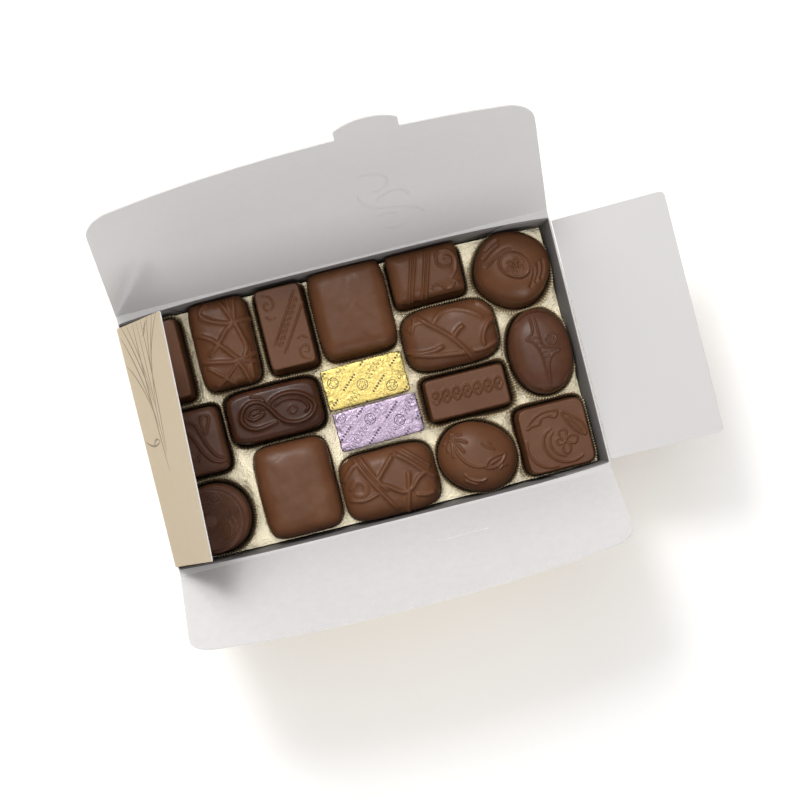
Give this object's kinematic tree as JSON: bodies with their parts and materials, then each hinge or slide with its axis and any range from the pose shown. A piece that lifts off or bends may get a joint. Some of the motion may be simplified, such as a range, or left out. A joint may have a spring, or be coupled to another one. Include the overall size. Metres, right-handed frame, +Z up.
{
  "type": "open box of chocolate pralines",
  "caption": "Open card ballotin box with four raised lid flaps, holding one visible layer of chocolate pralines, most in paper cups, on a cream sheet.",
  "frame": {"origin": "centre of the underside of the box's base", "axes": "+X along the box's long side, towards the end whose flap lies lowest; +Y towards the long wall whose flap carries the tongue; +Z up"},
  "size_m": [0.2275, 0.1824, 0.1387],
  "materials": {
    "card_inside": "matte white card",
    "sheet_cream": "satin cream sheet",
    "chocolate_milk": "satin milk chocolate",
    "chocolate_dark": "satin dark chocolate",
    "foil_yellow": "crinkled yellow foil",
    "foil_lilac": "crinkled lilac foil",
    "cup_paper": "glossy dark brown pleated paper"
  },
  "bodies": {
    "box": {"tray": "card_inside", "cream_sheet": "sheet_cream", "slab_ribbed_cup": "chocolate_milk", "square_dark_leaf": "chocolate_dark", "round_dark_rings": "chocolate_dark", "block_net_upright": "chocolate_milk", "block_diagonal_band": "chocolate_milk", "square_plain_large": "chocolate_milk", "block_stripes_scroll": "chocolate_milk", "egg_medallion": "chocolate_milk", "block_dark_loop": "chocolate_dark", "block_foil_yellow": "foil_yellow", "block_foil_lilac": "foil_lilac", "block_net_wide": "chocolate_milk", "block_beaded_line": "chocolate_milk", "oval_dark_stem": "chocolate_dark", "block_plain_tall": "chocolate_milk", "block_net_front": "chocolate_milk", "egg_palm": "chocolate_milk", "square_flower": "chocolate_milk", "cup_slab_ribbed_cup": "cup_paper", "cup_square_dark_leaf": "cup_paper", "cup_round_dark_rings": "cup_paper", "cup_block_net_upright": "cup_paper", "cup_block_diagonal_band": "cup_paper", "cup_square_plain_large": "cup_paper", "cup_block_stripes_scroll": "cup_paper", "cup_egg_medallion": "cup_paper", "cup_block_dark_loop": "cup_paper", "cup_block_net_wide": "cup_paper", "cup_block_beaded_line": "cup_paper", "cup_oval_dark_stem": "cup_paper", "cup_block_plain_tall": "cup_paper", "cup_block_net_front": "cup_paper", "cup_egg_palm": "cup_paper", "cup_square_flower": "cup_paper"},
    "back_flap": {"flap_back": "card_inside"},
    "front_flap": {"flap_front": "card_inside"},
    "right_flap": {"flap_right": "card_inside"},
    "left_flap": {"flap_left": "card_inside"}
  },
  "joints": [
    {"name": "back_crease", "type": "hinge", "parent": "box", "child": "back_flap", "pos_m": [0, 0.055, 0.05255], "axis": [1, 0, 0], "range_deg": [-94, 26]},
    {"name": "front_crease", "type": "hinge", "parent": "box", "child": "front_flap", "pos_m": [0, -0.0541, 0.05255], "axis": [-1, 0, 0], "range_deg": [-115, 30]},
    {"name": "right_crease", "type": "hinge", "parent": "box", "child": "right_flap", "pos_m": [0.0911, 0, 0.05255], "axis": [0, -1, 0], "range_deg": [-103, 162]},
    {"name": "left_crease", "type": "hinge", "parent": "box", "child": "left_flap", "pos_m": [-0.0911, 0, 0.05255], "axis": [0, 1, 0], "range_deg": [-199, 65.5]}
  ]
}
